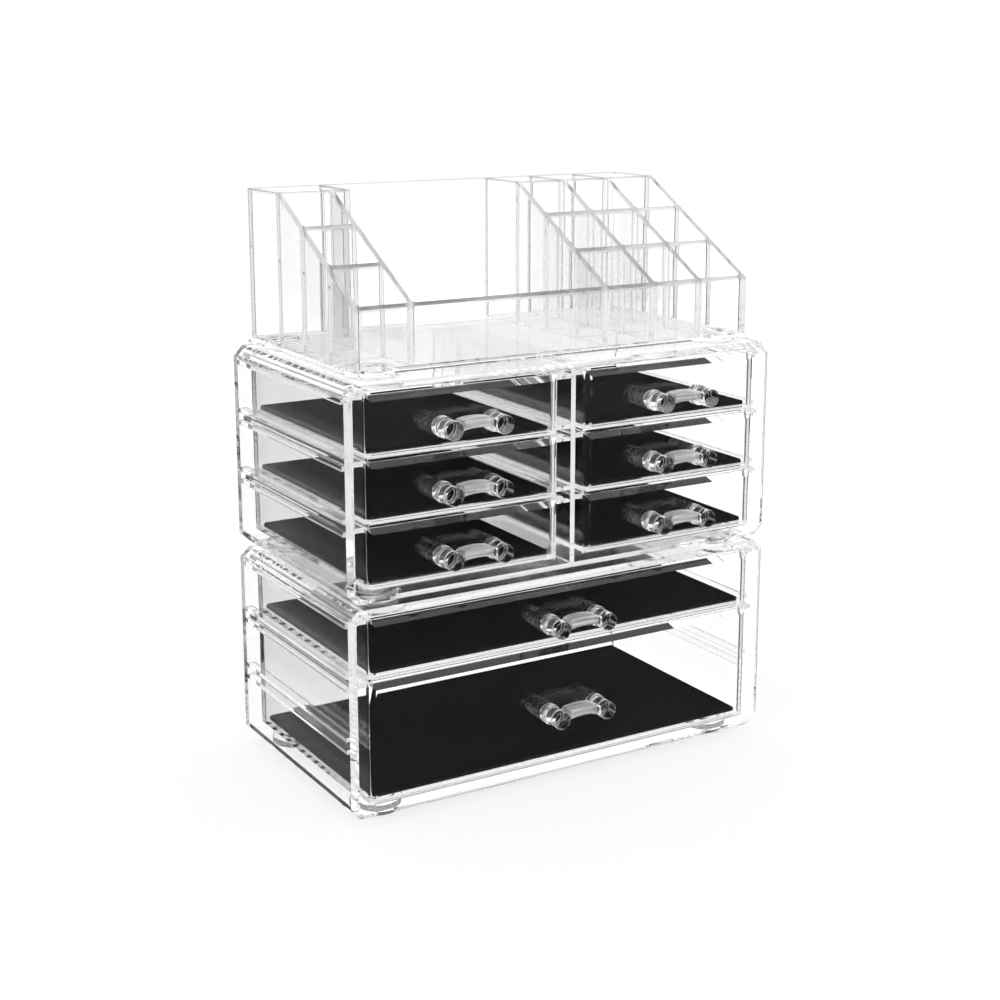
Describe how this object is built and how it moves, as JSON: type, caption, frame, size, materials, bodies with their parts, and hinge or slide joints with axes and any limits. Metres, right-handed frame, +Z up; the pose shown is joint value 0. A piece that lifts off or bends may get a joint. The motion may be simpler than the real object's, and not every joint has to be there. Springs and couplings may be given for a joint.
{
  "type": "makeup organizer",
  "caption": "Clear stacking makeup organizer: drawer cases with small and wide drawers under a raked tray of lipstick slots beside an open bay.",
  "frame": {"origin": "on the floor, under the middle of the whole outline with its handles", "axes": "+Z up, drawers open towards -Y, +X to the right of someone who faces the drawers"},
  "size_m": [0.24, 0.1426, 0.2887],
  "materials": {
    "clear_styrene": "clear, polished mould surface",
    "clear_handle": "clear, polished mould surface",
    "black_liner": "matt"
  },
  "bodies": {
    "lower_case": {"lower_case": "clear_styrene"},
    "upper_case": {"upper_case": "clear_styrene"},
    "slot_tray": {"slot_tray": "clear_styrene"},
    "upper_left_top_drawer": {"upper_left_top_drawer": "clear_styrene", "upper_left_top_drawer_handle": "clear_handle", "upper_left_top_drawer_liner": "black_liner"},
    "upper_left_middle_drawer": {"upper_left_middle_drawer": "clear_styrene", "upper_left_middle_drawer_handle": "clear_handle", "upper_left_middle_drawer_liner": "black_liner"},
    "upper_left_bottom_drawer": {"upper_left_bottom_drawer": "clear_styrene", "upper_left_bottom_drawer_handle": "clear_handle", "upper_left_bottom_drawer_liner": "black_liner"},
    "upper_right_top_drawer": {"upper_right_top_drawer": "clear_styrene", "upper_right_top_drawer_handle": "clear_handle", "upper_right_top_drawer_liner": "black_liner"},
    "upper_right_middle_drawer": {"upper_right_middle_drawer": "clear_styrene", "upper_right_middle_drawer_handle": "clear_handle", "upper_right_middle_drawer_liner": "black_liner"},
    "upper_right_bottom_drawer": {"upper_right_bottom_drawer": "clear_styrene", "upper_right_bottom_drawer_handle": "clear_handle", "upper_right_bottom_drawer_liner": "black_liner"},
    "lower_shallow_drawer": {"lower_shallow_drawer": "clear_styrene", "lower_shallow_drawer_handle": "clear_handle", "lower_shallow_drawer_liner": "black_liner"},
    "lower_deep_drawer": {"lower_deep_drawer": "clear_styrene", "lower_deep_drawer_handle": "clear_handle", "lower_deep_drawer_liner": "black_liner"}
  },
  "joints": [
    {"name": "upper_case_lift", "type": "slide", "parent": "lower_case", "child": "upper_case", "axis": [0, 0, 1], "range_m": [0, 0.03]},
    {"name": "slot_tray_lift", "type": "slide", "parent": "upper_case", "child": "slot_tray", "axis": [0, 0, 1], "range_m": [0, 0.03]},
    {"name": "upper_left_top_drawer_slide", "type": "slide", "parent": "upper_case", "child": "upper_left_top_drawer", "axis": [0, -1, 0], "range_m": [0, 0.1]},
    {"name": "upper_left_middle_drawer_slide", "type": "slide", "parent": "upper_case", "child": "upper_left_middle_drawer", "axis": [0, -1, 0], "range_m": [0, 0.1]},
    {"name": "upper_left_bottom_drawer_slide", "type": "slide", "parent": "upper_case", "child": "upper_left_bottom_drawer", "axis": [0, -1, 0], "range_m": [0, 0.1]},
    {"name": "upper_right_top_drawer_slide", "type": "slide", "parent": "upper_case", "child": "upper_right_top_drawer", "axis": [0, -1, 0], "range_m": [0, 0.1]},
    {"name": "upper_right_middle_drawer_slide", "type": "slide", "parent": "upper_case", "child": "upper_right_middle_drawer", "axis": [0, -1, 0], "range_m": [0, 0.1]},
    {"name": "upper_right_bottom_drawer_slide", "type": "slide", "parent": "upper_case", "child": "upper_right_bottom_drawer", "axis": [0, -1, 0], "range_m": [0, 0.1]},
    {"name": "lower_shallow_drawer_slide", "type": "slide", "parent": "lower_case", "child": "lower_shallow_drawer", "axis": [0, -1, 0], "range_m": [0, 0.1]},
    {"name": "lower_deep_drawer_slide", "type": "slide", "parent": "lower_case", "child": "lower_deep_drawer", "axis": [0, -1, 0], "range_m": [0, 0.1]}
  ]
}
